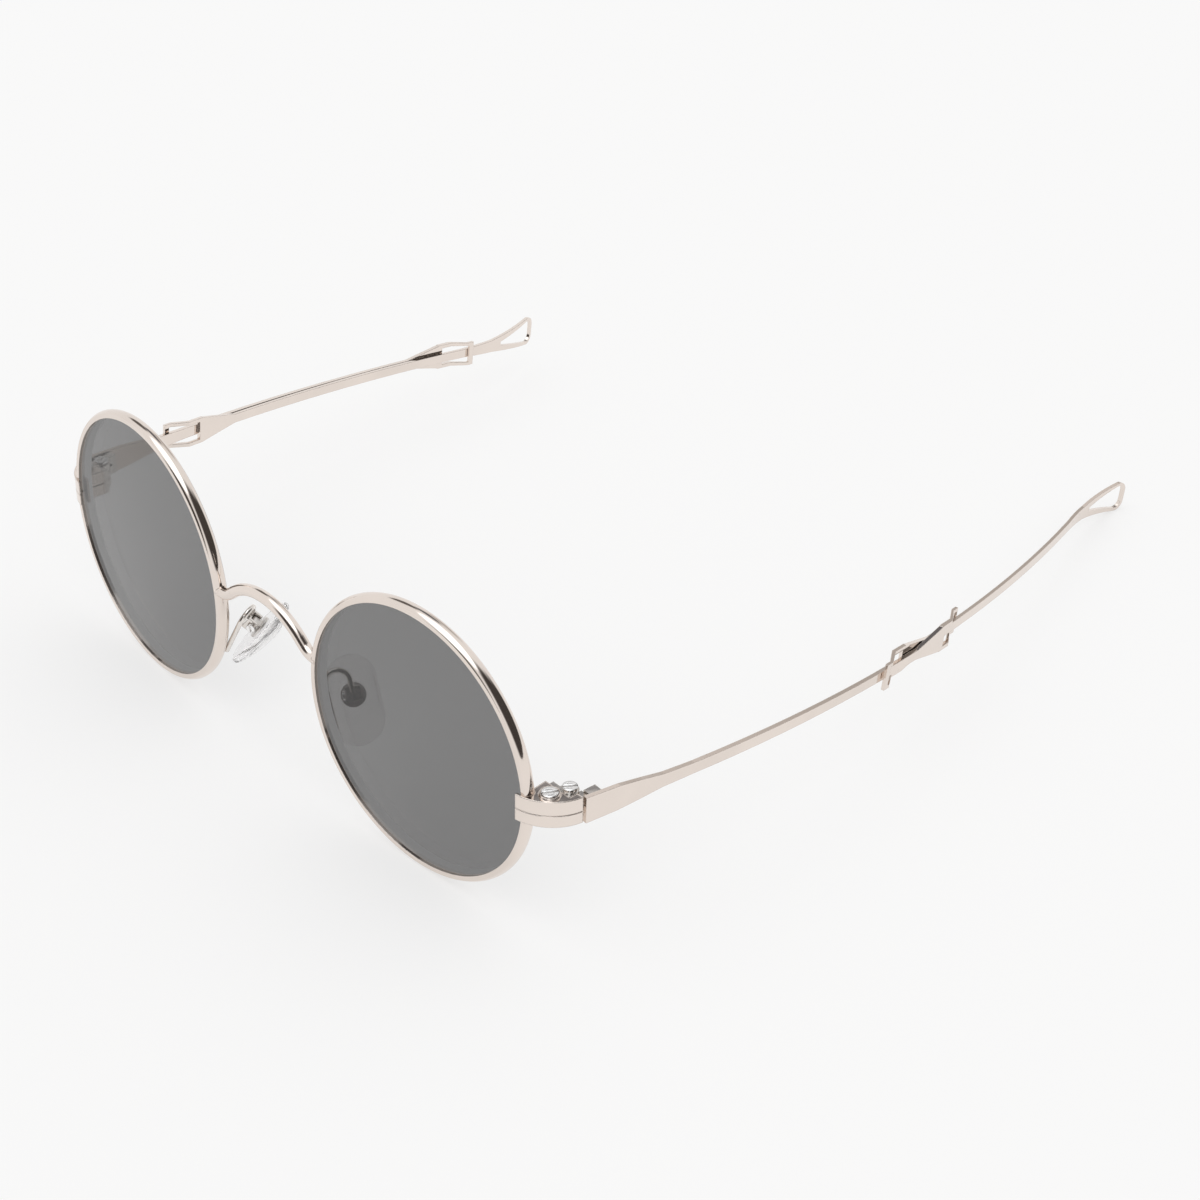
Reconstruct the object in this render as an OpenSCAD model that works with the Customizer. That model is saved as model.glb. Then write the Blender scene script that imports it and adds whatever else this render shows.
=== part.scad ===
// Round wire sunglasses with side-by-side sliding temples, resting on a table.
// Left and right are the wearer's. The front faces -Y, the temples run to +Y, +Z is up.
// The origin is the point between the nose pads where the nose sits.

/* [Front] */
// Radius of the opening inside the front lip of each rim
eye_r = 21; // [18:0.25:26]
// Distance from the middle plane to each rim's centre
eye_offset = 33.2; // [33:0.1:37]
// Turn of each rim towards the side of the head, degrees
wrap_angle = 4.1; // [0:0.1:8]
// Lean of the front while the sunglasses lie on a table, degrees
front_lean = 1.8; // [0:0.1:10]

/* [Rims] */
// Front to back depth of the rim
rim_depth = 1.9; // [1.6:0.1:3]
// Radial thickness of the rim at its crest
rim_wall = 1.15; // [0.9:0.05:1.8]
// Radius of the crowned outer side of the rim, across its depth
rim_crown_r = 1.25; // [1.2:0.05:3]
// Depth of the lens groove
groove_depth = 0.42; // [0.3:0.02:0.6]
// Half the width of the lens groove at its mouth
groove_half = 0.42; // [0.3:0.02:0.6]
// Distance from the front of the rim to the middle of the groove
groove_back = 1.0; // [0.8:0.05:1.3]
// Gap between the two ends of the rim
rim_split = 0.25; // [0.1:0.05:0.6]

/* [Lenses] */
// Thickness of the lens
lens_thick = 1.8; // [1.2:0.1:2.2]
// Distance of the lens's front edge behind the lip
lens_inset = 0.5; // [0.3:0.05:0.55]
// Radius of the lens's front surface
lens_curve_r = 265; // [150:5:800]
// Clearance between the lens's edge and the groove
lens_clear = 0.04; // [0.02:0.01:0.1]

/* [Bridge] */
// Radius of the bridge wire
bridge_wire_r = 0.94; // [0.6:0.02:1.2]
// Length of the straight part of each side of the arch
bridge_flank = 1.35; // [0.5:0.05:3]
// Height of the arch's ends above the rims' centres
bridge_end_z = 3; // [0:0.1:5]
// Slope of the arch's straight parts, degrees
bridge_slope = 40; // [34:1:44]
// Radius of the bend at each end
bridge_end_r = 3.6; // [1.5:0.1:4]
// Forward lean of the arch, degrees
bridge_lean = 1.5; // [0:0.5:18]

/* [Lugs] */
// Height of the closed lug
lug_h = 4.3; // [3.6:0.1:6]
// Radius of the quarter bend from the front to the side
lug_bend_r = 7.8; // [7.4:0.05:8.2]
// Distance of the lug's outer face beyond the opening of the rim
lug_out = 5.85; // [5.3:0.05:6.8]
// Height of the lug's middle above the rims' centres
lug_z = 0.07; // [-0.5:0.01:0.5]
// Width of the rim's lip and lens that the lug's front plate covers
lug_cover = 1.9; // [1:0.05:2.5]
// How far the lug's front face stands in front of the lip
lug_proud = 0.45; // [0.3:0.05:0.9]
// Share of the lug's height that its lower half takes, in millimetres from the bottom
seam_h = 1.95; // [1.4:0.05:2.6]
// Gap at the seam between the lug's halves
seam_gap = 0.1; // [0.04:0.02:0.3]
// Thickness of the lug's outer wall beside the hinge
lug_wall = 1.3; // [0.8:0.1:1.8]

/* [Lock screws] */
// Distance of the lock screw from the hinge screw, to the front
lock_fore = 3.2; // [3.1:0.05:3.6]
// Distance of the lock screw from the hinge screw, towards the nose
lock_in = 0.5; // [0.2:0.05:0.8]
// Radius of the lock screw's thread
lock_r = 0.7; // [0.5:0.05:0.8]
// Radius of the lock screw's head
lock_head_r = 1.18; // [1:0.02:1.25]
// Radius of the round collar that the head sits in
collar_r = 1.48; // [1.35:0.01:1.5]
// Height of the collar above the lug
collar_h = 0.35; // [0.2:0.05:0.8]
// Depth of the head's seat below the lug's top
seat_depth = 0.35; // [0.2:0.05:0.8]
// Width of the screwdriver slots
slot_w = 0.32; // [0.2:0.02:0.45]
// Depth of the screwdriver slots
slot_d = 0.3; // [0.15:0.05:0.45]

/* [Hinges] */
// Distance from the hinge's axis to the temple's outer face
pin_in = 3; // [2.9:0.05:3.4]
// Distance from the front plane to the hinge's axis
pin_y = 7.65; // [7.3:0.05:8]
// Height of the hinge's middle above the rims' centres
hinge_z = -0.24; // [-0.5:0.01:0.2]
// Height of the hinge, knuckle ends included
hinge_h = 4.2; // [4:0.1:4.6]
// Radius of the hinge screw
pin_r = 0.6; // [0.4:0.05:0.75]
// Radius of the knuckles
knuckle_r = 1.3; // [1.1:0.05:1.4]
// Height of the temple's knuckle
knuckle_h = 1.3; // [1:0.1:2]
// Gap between knuckles, along the screw
knuckle_gap = 0.12; // [0.05:0.01:0.25]
// Running clearance of the temple's knuckle on the screw
pin_clear = 0.05; // [0.02:0.01:0.1]
// Radius of the hinge screw's head
pin_head_r = 1.12; // [0.9:0.02:1.25]
// Height of the hinge screw's head
pin_head_h = 0.5; // [0.3:0.05:0.8]
// Gap between the lug's end and the temple's end
end_gap = 0.65; // [0.6:0.05:1]

/* [Temples] */
// Outward splay of the left temple as it lies, degrees
left_splay = 3; // [-5:0.1:8]
// Outward splay of the right temple as it lies, degrees
right_splay = 8.5; // [-5:0.1:10.8]
// Downward slope of the temples against the front, degrees
temple_drop = 5.85; // [3:0.01:8]
// Length of the straight root of the temples
root_l = 14; // [10:0.5:16]
// Height of the temple where it leaves the hinge
root_h = 4.3; // [3.8:0.1:5]
// Length of the first part of the root's taper
taper_a_l = 6.3; // [5:0.1:8]
// Height of the temple at the end of that part
taper_a_h = 4.04; // [3.6:0.02:4.4]
// Distance from the hinge to the end of the second part of the taper
taper_b_l = 10.3; // [9:0.1:12]
// Height of the temple there
taper_b_h = 3.2; // [2.8:0.05:3.6]
// Distance from the hinge to the end of the taper
taper_c_l = 14.3; // [13:0.1:17]
// Radius of the temples' curve, at the outer face of the front bar
temple_curve_r = 315; // [280:5:600]
// Thickness of the front bar
bar_t = 0.7; // [0.5:0.05:1.1]
// Height of the front bar along its run
bar_h = 1.6; // [1.4:0.1:2]
// Height of the front bar where the taper ends
bar_neck_h = 2.2; // [1.9:0.1:2.5]
// Height of the front bar a little further on
bar_slim_h = 1.86; // [1.6:0.02:2.2]
// Distance from the hinge to that place
bar_slim_l = 20; // [18:0.5:30]
// Distance from the hinge to where the front bar reaches its running height
bar_run_l = 56; // [40:1:65]
// Arc length from the hinge to the keeper on the front bar
keeper_s = 78.4; // [77:0.1:81]

/* [Sliding extensions] */
// Thickness of the extension bar
ext_t = 0.6; // [0.4:0.05:1]
// Height of the extension bar
ext_h = 1.6; // [1.2:0.1:2]
// Sliding clearance between the bars and the keepers
slide_clear = 0.15; // [0.1:0.01:0.25]
// Arc length of the sliding travel
travel = 45; // [30:1:47]
// Distance from the hinge to the back of the extension's keeper, drawn out
ext_keeper_s = 68.3; // [67:0.1:69]
// Arc length from the hinge to the end of the tip loop, drawn out
tip_s = 147.1; // [145:0.1:155]
// Radius of the outward bend before the tip
tip_bend_r = 37; // [30:1:200]

/* [Keepers] */
// Length of each keeper's window
window_l = 5.8; // [5:0.1:6.2]
// Length of each keeper's taper into its bar
taper_l = 7.4; // [6:0.1:8]
// Half height of each keeper's cross plate
plate_half = 2.25; // [2:0.05:2.6]
// Clear half height of each keeper's window
window_half = 1.65; // [1.4:0.05:1.8]
// Height of each keeper's arms where they join the bar
arm_h = 0.65; // [0.5:0.05:1]
// Thickness of each keeper's cross plate
plate_t = 0.5; // [0.3:0.05:0.8]
// Length of each keeper's cross plate along the bar
plate_l = 0.9; // [0.6:0.1:1.5]

/* [Tip loops] */
// Half height of the tip loop near its end
loop_half = 2.7; // [2.2:0.05:3]
// Radius of the tip loop's outer corners
loop_r = 1.7; // [1:0.05:2.1]
// Width of the metal around the loop
loop_w = 0.55; // [0.4:0.05:0.9]
// Length from the loop's neck to its end
loop_l = 12.4; // [10:0.1:14]
// Half height of the neck
neck_half = 1.15; // [1:0.05:1.5]

/* [Nose pads] */
// Distance from the middle plane to the back of each pad
pad_x = 11.6; // [11.2:0.1:12.2]
// Distance of the pads behind the front plane
pad_y = 5.85; // [5.6:0.05:7]
// Height of the pads' middle against the rims' centres
pad_z = -6.5; // [-7.5:0.1:-5.5]
// Turn of the pads towards the back of the nose, degrees
pad_splay = 42; // [30:1:46]
// Lean of the pads' tops towards the nose, degrees
pad_front = 36; // [28:1:38]
// Lean of the pads' tops towards the front, degrees
pad_lean = -20.5; // [-24:0.5:-12]
// Thickness of the pad
pad_t = 2.5; // [1.8:0.1:3.5]
// Radius of the pad's wide lower end
pad_low_r = 4.2; // [3.4:0.1:4.4]
// Radius of the pad's narrow upper end
pad_top_r = 3.8; // [2.8:0.1:4]
// Distance between the centres of the pad's two ends
pad_span = 6.8; // [5:0.2:7.4]
// Radius of the pad's crown across its width
pad_crown_r = 10; // [8:0.5:20]
// Radius of the pad's crown along its length
pad_long_r = 27; // [18:1:60]

/* [Pad mounts] */
// Radius of the pad arm's wire
arm_r = 0.42; // [0.3:0.02:0.6]
// Radius of the pad arm's bend
arm_bend_r = 1.9; // [1.6:0.05:2.2]
// Lean of the pad arm's leg against the line to its box, degrees
arm_tilt = 2.3; // [0:0.1:6]
// Lean of the pad arm's bend towards the nose, degrees
arm_bulge = 47; // [36:1:54]
// Length of the pad arm's leg on the rim
arm_leg = 6.9; // [6.4:0.1:7.4]
// Height of the pad arm's foot against the rims' centres
arm_foot_z = -9.6; // [-10.5:0.1:-8.5]
// Radius of the pad screw
pad_screw_r = 0.35; // [0.25:0.01:0.45]
// Radius of the pad screw's head
pad_head_r = 0.7; // [0.5:0.05:0.9]
// Half width of the tongue on the pad's mount
tongue_half = 0.6; // [0.4:0.05:0.8]
// Thickness of the pad box's walls
box_wall = 0.4; // [0.3:0.05:0.6]
// Half height of the pad box
box_half = 1.1; // [0.9:0.05:1.4]
// Distance of the arm's end above the middle of the pad box
arm_high = 0.55; // [0.3:0.05:0.7]
// Radius of the mount's flange on the pad
flange_r = 1.9; // [1.5:0.1:2.4]
// Thickness of that flange
flange_t = 0.35; // [0.25:0.05:0.6]

/* [Hidden] */
$fn = 96;

silver = [0.86, 0.84, 0.81];
steel = [0.7, 0.69, 0.67];
smoke = [0.3, 0.3, 0.31, 0.7];
clear_silicone = [0.93, 0.93, 0.92, 0.6];

rim_r = eye_r + rim_wall;
rim_mid = rim_depth / 2;
crown_centre = rim_r - rim_crown_r;
seam_z = lug_z - lug_h / 2 + seam_h;
lug_top = lug_z + lug_h / 2;
lug_bottom = lug_z - lug_h / 2;
fit = 0.02;
small = 0.01;
// straight wire laps over bent wire by this much, and is thicker there by the step
lap = 0.03;
lap_step = 0.004;

// where the nose sits, and the frame of the front
nose_y = pad_y;
nose_z = pad_z;
module placed() {
  rotate([-front_lean, 0, 0]) translate([0, -nose_y, -nose_z]) children();
}
module left() placed() children();
module right() placed() mirror([1, 0, 0]) children();

// a rim's own frame: its axis is local Z, and local Z runs to the back
module rim_frame() {
  translate([eye_offset, 0, 0]) rotate([0, 0, wrap_angle]) rotate([-90, 0, 0]) children();
}
module rim_outline() {
  intersection() {
    translate([eye_r - groove_depth - 1, 0]) square([rim_wall + groove_depth + 2, rim_depth]);
    translate([crown_centre, rim_mid]) circle(r = rim_crown_r);
  }
}
// the rim's section and the space of its groove, as one round body
module rim_envelope() {
  rim_frame() {
    rotate_extrude() {
      translate([eye_r - groove_depth - 1, 0]) square([1.2 + groove_depth, rim_depth]);
      rim_outline();
    }
  }
}
module rim_section() {
  intersection() {
    rim_outline();
    difference() {
      translate([eye_r, 0]) square([rim_wall + 1, rim_depth]);
      polygon([
        [eye_r - small, groove_back - groove_half - small],
        [eye_r + groove_depth, groove_back],
        [eye_r - small, groove_back + groove_half + small]
      ]);
    }
  }
}
split_angle = 2 * asin(rim_split / 2 / rim_r);
seam_angle = asin(-seam_z / rim_r);
module rim() {
  rim_frame() rotate([0, 0, seam_angle + split_angle / 2]) {
    rotate_extrude(angle = 360 - split_angle) rim_section();
  }
}

// lens: two long-radius surfaces, a bevelled edge in the groove
edge_front = lens_inset;
edge_r = eye_r + groove_depth - lens_clear * 1.5;
body_r = eye_r - lens_clear;
sag = lens_curve_r - sqrt(lens_curve_r * lens_curve_r - body_r * body_r);
module lens() {
  rim_frame() intersection() {
    translate([0, 0, edge_front - sag + lens_curve_r]) sphere(r = lens_curve_r, $fn = 400);
    rotate_extrude() polygon([
      [0, edge_front - sag - 1],
      [body_r, edge_front - sag - 1],
      [body_r, groove_back - groove_half + lens_clear],
      [edge_r, groove_back],
      [body_r, groove_back + groove_half - lens_clear],
      [body_r, edge_front + lens_thick],
      [0, edge_front + lens_thick]
    ]);
    difference() {
      cylinder(h = 3 * rim_depth, r = rim_r, center = true);
      translate([0, 0, edge_front + lens_thick - sag + lens_curve_r - small]) {
        sphere(r = lens_curve_r, $fn = 400);
      }
    }
  }
}

// bridge: one arched wire, bent in its own plane
nasal_x = eye_offset - rim_r * cos(wrap_angle) + 0.25;
bridge_y = rim_mid - rim_r * sin(wrap_angle);
bridge_rise = (nasal_x + bridge_flank) * tan(bridge_slope / 2);
arch_sum = (nasal_x * sin(bridge_slope) - bridge_rise * cos(bridge_slope)) / (1 - cos(bridge_slope));
arch_r = arch_sum - bridge_end_r;
crown_y = bridge_rise - arch_r;
module bridge_half() {
  translate([nasal_x, bridge_end_r, 0]) rotate([0, 0, 270 - bridge_slope]) {
    rotate_extrude(angle = bridge_slope) translate([bridge_end_r, 0]) circle(r = bridge_wire_r);
  }
  translate([arch_r * sin(bridge_slope), crown_y + arch_r * cos(bridge_slope), 0]) {
    rotate([0, 0, -bridge_slope]) translate([-lap, 0, 0]) rotate([0, 90, 0]) {
      cylinder(h = bridge_flank + 2 * lap, r = bridge_wire_r + lap_step);
    }
  }
  translate([nasal_x - lap, 0, 0]) rotate([0, 90, 0]) cylinder(h = 1, r = bridge_wire_r + lap_step);
}
module bridge_arch() {
  difference() {
    translate([0, bridge_y, bridge_end_z]) rotate([90 + bridge_lean, 0, 0]) {
      translate([0, crown_y, 0]) rotate([0, 0, 90 - bridge_slope]) {
        rotate_extrude(angle = 2 * bridge_slope) translate([arch_r, 0]) circle(r = bridge_wire_r);
      }
      bridge_half();
      mirror([1, 0, 0]) bridge_half();
    }
    rim_envelope();
    mirror([1, 0, 0]) rim_envelope();
  }
}

// lugs: a quarter bend round the front corner, split at the seam
lug_x = eye_offset + eye_r + lug_out;
pin_x = lug_x - pin_in;
bend_x = lug_x - lug_bend_r;
lip_y = (bend_x - eye_offset) * tan(wrap_angle);
bend_y = lip_y - lug_proud + lug_bend_r;
lug_end_y = pin_y + end_gap * cos(left_splay) - 0.2 - end_gap;
lug_back_y = pin_y - knuckle_r - 0.3;
lug_in_x = eye_offset + (eye_r - lug_cover + rim_wall) * cos(wrap_angle);
lock_x = pin_x - lock_in;
lock_y = pin_y - lock_fore;
module lug_plan() {
  intersection() {
    translate([bend_x, bend_y]) circle(r = lug_bend_r);
    difference() {
      translate([lug_in_x, 0]) square([lug_x - lug_in_x + 1, lug_end_y]);
      translate([lug_in_x - 1, lug_back_y]) square([lug_x - lug_wall - lug_in_x + 1, pin_y]);
      translate([pin_x, pin_y]) circle(r = knuckle_r + 0.25);
    }
  }
}
module lug_body() {
  difference() {
    translate([0, 0, lug_bottom]) linear_extrude(lug_h) lug_plan();
    rim_envelope();
    rim_frame() cylinder(h = 20, r = eye_r + 0.2);
  }
}
module lock_axis() translate([lock_x, lock_y, 0]) children();
module upper_lug() {
  difference() {
    union() {
      difference() {
        lug_body();
        translate([0, 0, lug_bottom - 1]) {
          linear_extrude(seam_z + seam_gap / 2 - lug_bottom + 1) square([lug_x + 5, 3 * pin_y]);
        }
      }
      lock_axis() translate([0, 0, lug_top - small]) cylinder(h = collar_h + small, r = collar_r);
    }
    lock_axis() {
      translate([0, 0, lug_top - seat_depth]) cylinder(h = seat_depth + 2, r = lock_head_r + 0.06);
      translate([0, 0, lug_bottom - 1]) cylinder(h = lug_h + 2, r = lock_r + 0.08);
    }
  }
}
module lower_lug() {
  difference() {
    lug_body();
    translate([0, 0, seam_z - seam_gap / 2]) linear_extrude(lug_h) square([lug_x + 5, 3 * pin_y]);
    lock_axis() translate([0, 0, lug_bottom - 1]) cylinder(h = lug_h + 2, r = lock_r + fit);
  }
}
// how far each kind of screw's slot is turned, degrees
lock_turn = 62;
hinge_turn = 58;
pad_turn = 40;
module slotted_head(r, h, turn) {
  difference() {
    cylinder(h = h, r = r);
    translate([0, 0, h - slot_d]) rotate([0, 0, turn]) {
      translate([-2 * r, -slot_w / 2, 0]) cube([4 * r, slot_w, 1]);
    }
  }
}
module lock_screw() {
  lock_axis() {
    translate([0, 0, lug_top - seat_depth]) slotted_head(lock_head_r, seat_depth + collar_h + 0.1, lock_turn);
    translate([0, 0, lug_bottom + 0.1]) cylinder(h = lug_h - seat_depth - 0.1 + small, r = lock_r);
  }
}

// hinge: a fork brazed behind the upper half of the lug, the temple's knuckle between
ear_low = knuckle_h / 2 + knuckle_gap;
ear_high = hinge_h / 2;
spine_x = pin_x - knuckle_r - 0.3;
module ear_plan() {
  translate([pin_x, pin_y]) circle(r = knuckle_r);
  translate([spine_x - 1.1, lug_back_y]) square([pin_x + knuckle_r - spine_x + 1.1, pin_y - lug_back_y - 0.6]);
  translate([pin_x - knuckle_r, lug_back_y]) square([2 * knuckle_r, pin_y - lug_back_y]);
}
module hinge_fork() {
  difference() {
    union() {
      translate([0, 0, hinge_z + ear_low]) linear_extrude(ear_high - ear_low) ear_plan();
      translate([0, 0, hinge_z - ear_high]) linear_extrude(ear_high - ear_low) ear_plan();
      translate([spine_x - 1.1, lug_back_y, hinge_z - ear_high]) {
        cube([1.1, pin_y - lug_back_y - 0.6, 2 * ear_high]);
      }
    }
    translate([0, 0, hinge_z - hinge_h]) {
      linear_extrude(seam_z - hinge_z + hinge_h) {
        translate([spine_x - 2, lug_back_y - 1]) square([pin_in + knuckle_r + 2, 1.15]);
      }
    }
    translate([pin_x, pin_y, hinge_z - hinge_h]) cylinder(h = 2 * hinge_h, r = pin_r + fit);
  }
}
module hinge_screw() {
  translate([pin_x, pin_y, hinge_z]) {
    translate([0, 0, ear_high]) slotted_head(pin_head_r, pin_head_h, hinge_turn);
    translate([0, 0, -ear_high - 0.1]) cylinder(h = 2 * ear_high + 0.1 + small, r = pin_r);
  }
}

// temple frame: origin on the hinge's axis, local Y along the temple, local X outwards
module hinge_frame(splay) {
  translate([pin_x, pin_y, hinge_z]) rotate([0, 0, -splay]) children();
}
module temple_frame(splay) {
  hinge_frame(splay) rotate([-temple_drop, 0, 0]) children();
}
// the bars run straight for the root, then round the curve's centre, then the tip bends out
arc_x = pin_in - temple_curve_r;
bend_s = keeper_s + window_l + plate_l + travel + 0.3;
function turn(s) = (s - root_l) / temple_curve_r * 180 / PI;
tip_turn = turn(bend_s);
function tip_angle(s) = (s - bend_s) / tip_bend_r * 180 / PI;
bend_at = root_l + temple_curve_r * sin(tip_turn);
// distance along local Y of a point at a length along the temple
function along(s) = s < root_l ? s : s < bend_s ? root_l + temple_curve_r * sin(turn(s))
  : bend_at + tip_bend_r * (sin(tip_turn) - sin(tip_turn - tip_angle(s)));
// a curved layer between two offsets from the front bar's outer face
module layer(outer, inner, s0, s1) {
  translate([arc_x, root_l, 0]) rotate([0, 0, turn(s0)]) {
    rotate_extrude(angle = turn(s1) - turn(s0), $fn = 720) {
      translate([temple_curve_r + inner, -bar_reach]) square([outer - inner, 2 * bar_reach]);
    }
  }
}
// places a piece at a length along the curve, local X outwards from the front bar's outer face
module at_s(s) {
  translate([arc_x, root_l, 0]) rotate([0, 0, turn(s)]) translate([temple_curve_r, 0, 0]) children();
}
// an outline in (distance along, height), drawn right through the temple from its side
module from_side() {
  translate([-side_reach, 0, 0]) rotate([90, 0, 90]) linear_extrude(2 * side_reach) children();
}
module mirrored_outline(pts) {
  n = len(pts);
  polygon(concat(pts, [for (i = [n - 1:-1:0]) [pts[i][0], -pts[i][1]]]));
}

// layers: front bar, extension bar, and the plates of the two keepers
bar_reach = root_h;
side_reach = tip_s / 2;
ext_outer = -bar_t - slide_clear;
ext_inner = ext_outer - ext_t;
in_plate_outer = ext_inner - slide_clear;
in_plate_inner = in_plate_outer - plate_t;
out_plate_inner = slide_clear;
out_plate_outer = slide_clear + plate_t;
keeper_half = window_half + arm_h;
window_total = window_l + plate_l;

bar_outline = [
  [0.1, root_h / 2], [taper_a_l, taper_a_h / 2], [taper_b_l, taper_b_h / 2],
  [taper_c_l, bar_neck_h / 2], [bar_slim_l, bar_slim_h / 2], [bar_run_l, bar_h / 2],
  [along(keeper_s - taper_l), bar_h / 2],
  [along(keeper_s), keeper_half], [along(keeper_s + 0.5), keeper_half]
];
// arms and cross plate of a keeper; dir is +1 towards the tip, -1 towards the hinge
module keeper(from_outer, from_inner, to_outer, to_inner, dir) {
  bend_y0 = window_l * 0.42;
  difference() {
    intersection() {
      translate([0, 0, -keeper_half]) linear_extrude(2 * keeper_half) polygon([
        [from_outer, -0.4 * dir], [from_outer, bend_y0 * dir], [to_outer, (window_l - 0.5) * dir],
        [to_outer, window_total * dir], [to_inner, window_total * dir],
        [to_inner, (window_l - 0.3) * dir], [from_inner, (bend_y0 + 0.2) * dir], [from_inner, -0.4 * dir]
      ]);
      from_side() mirrored_outline([
        [-0.4 * dir, keeper_half], [bend_y0 * dir, keeper_half],
        [window_l * dir, plate_half], [window_total * dir, plate_half]
      ]);
    }
    translate([-10, dir > 0 ? 0 : -window_l, -window_half]) cube([20, window_l, 2 * window_half]);
  }
}
module temple_bar(splay) {
  difference() {
    temple_frame(splay) {
      intersection() {
        union() {
          layer(0, -bar_t, root_l, keeper_s + 0.5);
          translate([pin_in - bar_t - lap_step, -1, -bar_reach]) {
            cube([bar_t + 2 * lap_step, root_l + 1 + 3 * lap, 2 * bar_reach]);
          }
        }
        from_side() mirrored_outline(bar_outline);
      }
      at_s(keeper_s) keeper(0, -bar_t, in_plate_outer, in_plate_inner, 1);
    }
    hinge_frame(splay) translate([-10, -10 + end_gap - 0.2, -10]) cube([20, 10, 20]);
  }
}
tab_y0 = knuckle_r + 0.4;
web_y0 = 0.35;
tab_l = 2;
module temple_knuckle(splay) {
  difference() {
    union() {
      hinge_frame(splay) translate([0, 0, -knuckle_h / 2]) linear_extrude(knuckle_h) {
        circle(r = knuckle_r);
        translate([-0.2, web_y0]) square([pin_in - bar_t - 0.25, tab_y0 + 0.5 - web_y0]);
      }
      hinge_frame(splay) translate([0.8, tab_y0, -root_h / 2 + 0.55]) cube([pin_in, tab_l, root_h - 1.1]);
    }
    hinge_frame(splay) translate([0, 0, -hinge_h]) cylinder(h = 2 * hinge_h, r = pin_r + pin_clear);
    temple_frame(splay) translate([pin_in - bar_t - lap_step, -5, -10]) cube([10, 20, 20]);
  }
}

neck_s = tip_s - loop_l;
ext_outline = [
  [along(ext_keeper_s - 0.5), keeper_half], [along(ext_keeper_s), keeper_half],
  [along(ext_keeper_s + taper_l), ext_h / 2], [along(neck_s - 7), ext_h / 2], [along(neck_s), neck_half]
];
// widens from a neck of a given half height to an end at y1 with two round corners
module drop_shape(y0, half, y1, top, r) {
  cx = y1 - r;
  cz = top - r;
  out = r + lap_step;
  t = atan2(cz - half, cx - y0) + asin(out / norm([cx - y0, cz - half]));
  mirrored_outline([[y0, half], [cx - out * sin(t), cz + out * cos(t)], [cx, cz], [cx + out, cz]]);
  translate([cx, cz]) circle(r = r);
  translate([cx, -cz]) circle(r = r);
}
loop_y = along(tip_s);
module extension_shape() {
  intersection() {
    union() {
      layer(ext_outer, ext_inner, ext_keeper_s - 0.5, bend_s);
      at_s(bend_s) translate([tip_bend_r, 0, 0]) rotate([0, 0, 180 - tip_angle(tip_s + 2)]) {
        rotate_extrude(angle = tip_angle(tip_s + 2) + 0.1, $fn = 360) {
          translate([tip_bend_r - ext_outer - lap_step, -bar_reach]) {
            square([ext_t + 2 * lap_step, 2 * bar_reach]);
          }
        }
      }
    }
    from_side() {
      mirrored_outline(ext_outline);
      difference() {
        drop_shape(along(neck_s) - small, neck_half, loop_y, loop_half, loop_r);
        drop_shape(along(neck_s) + 2.2, 0.35, loop_y - loop_w, loop_half - loop_w, loop_r - loop_w + 0.1);
      }
    }
  }
  at_s(ext_keeper_s) keeper(ext_outer, ext_inner, out_plate_outer, out_plate_inner, -1);
}
module extension(splay, drawn_in) {
  temple_frame(splay) translate([arc_x, root_l, 0]) {
    rotate([0, 0, -drawn_in / temple_curve_r * 180 / PI]) {
      translate([-arc_x, -root_l, 0]) extension_shape();
    }
  }
}

// nose pads: each rocks on a small screw in a box at the end of its arm
pivot_back = 1.25;
box_floor = 2.5;
tongue_r = 0.75;
module pad_frame() {
  translate([pad_x, pad_y, pad_z]) rotate([pad_lean, 0, 0]) rotate([0, -pad_front, 0]) {
    rotate([0, 0, -pad_splay - 90]) rotate([90, 0, 0]) children();
  }
}
module pad_outline() {
  t = asin((pad_low_r - pad_top_r) / pad_span);
  low = pad_low_r + lap_step;
  top = pad_top_r + lap_step;
  translate([0, -pad_span / 2]) circle(r = pad_low_r);
  translate([0, pad_span / 2]) circle(r = pad_top_r);
  polygon([
    [low * cos(t), -pad_span / 2 + low * sin(t)],
    [top * cos(t), pad_span / 2 + top * sin(t)],
    [-top * cos(t), pad_span / 2 + top * sin(t)],
    [-low * cos(t), -pad_span / 2 + low * sin(t)]
  ]);
}
module nose_pad() {
  pad_frame() intersection() {
    linear_extrude(pad_t) pad_outline();
    translate([0, 0, pad_t - pad_crown_r]) rotate([90, 0, 0]) {
      cylinder(h = 30, r = pad_crown_r, center = true);
    }
    translate([0, 0, pad_t - pad_long_r]) rotate([0, 90, 0]) {
      cylinder(h = 30, r = pad_long_r, center = true);
    }
  }
}
module pad_mount() {
  pad_frame() difference() {
    union() {
      translate([0, 0, -flange_t]) cylinder(h = flange_t, r = flange_r);
      translate([-tongue_half, -tongue_r, -pivot_back]) cube([2 * tongue_half, 2 * tongue_r, pivot_back - small]);
      translate([-tongue_half, 0, -pivot_back]) rotate([0, 90, 0]) cylinder(h = 2 * tongue_half, r = tongue_r);
    }
    translate([-3, 0, -pivot_back]) rotate([0, 90, 0]) cylinder(h = 6, r = pad_screw_r + 0.05);
  }
}
box_x = tongue_half + 0.15;
module box_block(high) {
  translate([-box_x - box_wall, -box_half, -box_floor]) cube([2 * (box_x + box_wall), 2 * box_half, high]);
}
module pad_box() {
  pad_frame() difference() {
    box_block(box_floor - flange_t - 0.4);
    translate([-box_x, -box_half - 1, -box_floor + 0.3]) cube([2 * box_x, 2 * box_half + 2, 5]);
    translate([-3, 0, -pivot_back]) rotate([0, 90, 0]) cylinder(h = 6, r = pad_screw_r + fit);
  }
}
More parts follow.
